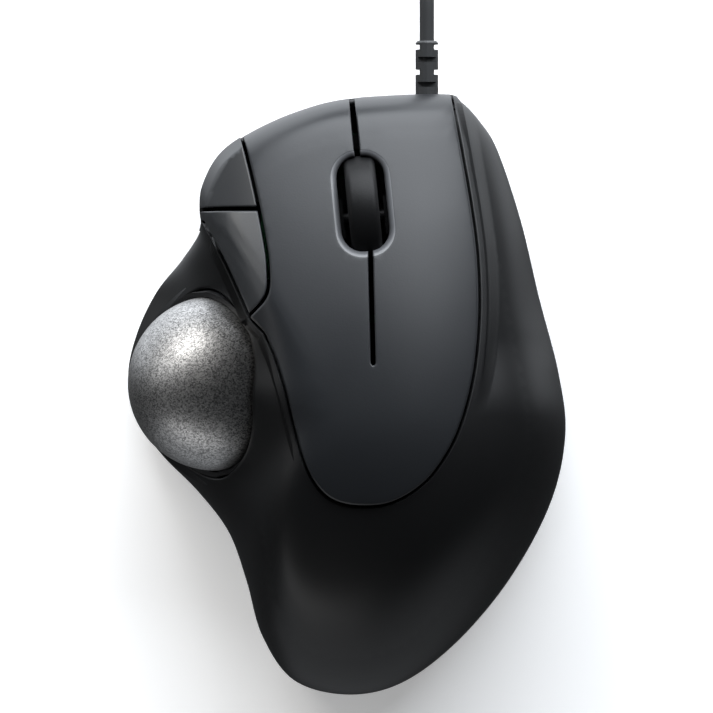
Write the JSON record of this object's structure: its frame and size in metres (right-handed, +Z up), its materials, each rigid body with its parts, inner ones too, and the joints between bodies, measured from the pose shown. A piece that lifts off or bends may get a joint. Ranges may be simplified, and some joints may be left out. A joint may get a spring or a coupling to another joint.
{
  "type": "trackball mouse",
  "caption": "Right-handed wired mouse with a thumb ball, flexing keys, a clickable scroll wheel, side buttons and a palm rest.",
  "frame": {"origin": "centre of the mouse's footprint on the table, without the cord", "axes": "+Y towards the nose, where the cord leaves; +X to the right of the hand; +Z up"},
  "size_m": [0.1123, 0.2208, 0.0501],
  "materials": {
    "black_shell": "satin black moulded shell",
    "grey_key": "satin dark grey moulded keys",
    "silver_ball": "speckled silver-grey polished resin",
    "dark_plastic": "matt dark plastic",
    "black_rubber": "matt rubber",
    "steel": "bright steel",
    "circuit_board": "green circuit board",
    "white_plastic": "white plastic or ceramic"
  },
  "bodies": {
    "case": {"back_switch": "dark_plastic", "ball_cup": "dark_plastic", "base_plate": "black_shell", "coil_tie": "dark_plastic", "controller_chip": "dark_plastic", "cord": "black_rubber", "cord_coil": "black_rubber", "cord_connector": "white_plastic", "foot_1": "black_rubber", "foot_2": "black_rubber", "foot_3": "black_rubber", "foot_4": "black_rubber", "foot_5": "black_rubber", "forward_switch": "dark_plastic", "key_board": "circuit_board", "left_switch": "dark_plastic", "middle_switch": "dark_plastic", "right_switch": "dark_plastic", "screw_1": "steel", "screw_2": "steel", "screw_3": "steel", "screw_4": "steel", "sensor_board": "circuit_board", "sensor_chip": "dark_plastic", "sensor_lens": "white_plastic", "side_board": "circuit_board", "strain_relief": "black_rubber", "support_bead_1": "white_plastic", "support_bead_2": "white_plastic", "support_bead_3": "white_plastic", "top_cover": "grey_key", "upper_case": "black_shell", "usb_grip": "black_rubber", "usb_shell": "steel", "usb_tongue": "white_plastic"},
    "left_key": {"left_key": "grey_key"},
    "right_key": {"right_key": "grey_key"},
    "forward_button": {"forward_button": "grey_key"},
    "back_button": {"back_button": "grey_key"},
    "ball": {"ball": "silver_ball"},
    "wheel_carrier": {"wheel_carrier": "dark_plastic", "wheel_encoder": "dark_plastic"},
    "wheel": {"wheel_tyre": "black_rubber", "wheel_hub": "dark_plastic", "wheel_axle": "steel"},
    "left_plunger": {"left_plunger": "white_plastic"},
    "right_plunger": {"right_plunger": "white_plastic"}
  },
  "joints": [
    {"name": "left_key_press", "type": "hinge", "parent": "case", "child": "left_key", "pos_m": [0, 0.0068, 0.0484], "axis": [1, 0, 0], "range_deg": [-0.8, 0], "stiffness_Nm_per_rad": 1.5},
    {"name": "right_key_press", "type": "hinge", "parent": "case", "child": "right_key", "pos_m": [0, 0.0068, 0.0484], "axis": [1, 0, 0], "range_deg": [-0.8, 0], "stiffness_Nm_per_rad": 1.5},
    {"name": "left_plunger_press", "type": "slide", "parent": "case", "child": "left_plunger", "axis": [0, 0, 1], "range_m": [-0.0008, 0]},
    {"name": "right_plunger_press", "type": "slide", "parent": "case", "child": "right_plunger", "axis": [0, 0, 1], "range_m": [-0.0008, 0]},
    {"name": "forward_button_press", "type": "slide", "parent": "case", "child": "forward_button", "axis": [1, 0, 0], "range_m": [0, 0.0005], "stiffness_N_per_m": 1200},
    {"name": "back_button_press", "type": "slide", "parent": "case", "child": "back_button", "axis": [1, 0, 0], "range_m": [0, 0.0005], "stiffness_N_per_m": 1200},
    {"name": "wheel_click", "type": "slide", "parent": "case", "child": "wheel_carrier", "axis": [0, 0, 1], "range_m": [-0.0005, 0], "stiffness_N_per_m": 1500},
    {"name": "wheel_spin", "type": "hinge", "parent": "wheel_carrier", "child": "wheel", "pos_m": [0.00355, 0.03661, 0.03], "axis": [0.9952, 0.0976, 0], "continuous": true},
    {"name": "ball_roll", "type": "hinge", "parent": "case", "child": "ball", "pos_m": [-0.0271, 0.0025, 0.0224], "axis": [0.6332, 0, 0.774], "continuous": true}
  ],
  "couplings": [
    {"joint": "left_plunger_press", "follows": "left_key_press", "m_per_rad": 0.0392},
    {"joint": "right_plunger_press", "follows": "right_key_press", "m_per_rad": 0.0402}
  ]
}
